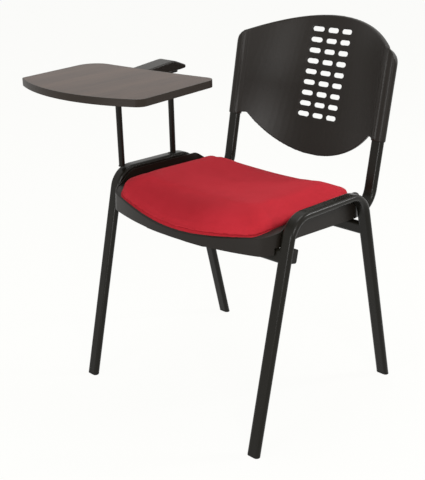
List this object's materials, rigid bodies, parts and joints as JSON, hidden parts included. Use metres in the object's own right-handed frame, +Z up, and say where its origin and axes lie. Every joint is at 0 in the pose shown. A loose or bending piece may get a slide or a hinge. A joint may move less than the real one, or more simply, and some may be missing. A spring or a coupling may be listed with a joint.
{
  "type": "tablet arm chair",
  "caption": "Stacking chair on flat-oval steel legs with a slotted backrest, a padded seat and a writing tablet that folds up beside the sitter.",
  "frame": {"origin": "on the floor, under the middle of the chair's outer box with the tablet folded down", "axes": "+Z up, +X towards the sitter's left, so the tablet is on the -X side; the chair faces -Y"},
  "size_m": [0.5987, 0.7218, 0.797],
  "materials": {
    "frame_steel": "satin black powder coat",
    "black_plastic": "fine matt grain",
    "seat_plywood": "raw plywood",
    "red_fabric": "close woven red upholstery cloth",
    "zinc_steel": "zinc plated",
    "dark_laminate": "dark wood-grain laminate on board, satin",
    "edge_plastic": "matt, matched to the laminate"
  },
  "bodies": {
    "chair": {"side_frame_left": "frame_steel", "side_frame_right": "frame_steel", "front_crossbar": "frame_steel", "rear_crossbar": "frame_steel", "upright_left": "frame_steel", "upright_right": "frame_steel", "arm_post_front": "frame_steel", "arm_post_rear": "frame_steel", "arm_bar": "frame_steel", "hinge_channel": "frame_steel", "foot_plug_front_left": "black_plastic", "foot_plug_front_right": "black_plastic", "foot_plug_rear_left": "black_plastic", "foot_plug_rear_right": "black_plastic", "stacking_buffer_left": "black_plastic", "stacking_buffer_right": "black_plastic", "seat_pan": "black_plastic", "backrest_shell": "black_plastic", "arm_pad": "black_plastic", "seat_board": "seat_plywood", "seat_cushion": "red_fabric", "seat_tee_nuts": "zinc_steel", "seat_screws": "zinc_steel", "backrest_screws": "zinc_steel", "arm_pad_screws": "zinc_steel", "hinge_pin": "zinc_steel"},
    "tablet": {"hinge_leaf": "frame_steel", "tablet_board": "dark_laminate", "tablet_edge_band": "edge_plastic", "tablet_screws": "zinc_steel"}
  },
  "joints": [
    {"name": "tablet_fold", "type": "hinge", "parent": "chair", "child": "tablet", "pos_m": [-0.25207, -0.18529, 0.701], "axis": [0.0958, -0.9954, 0], "range_deg": [0, 100]}
  ]
}
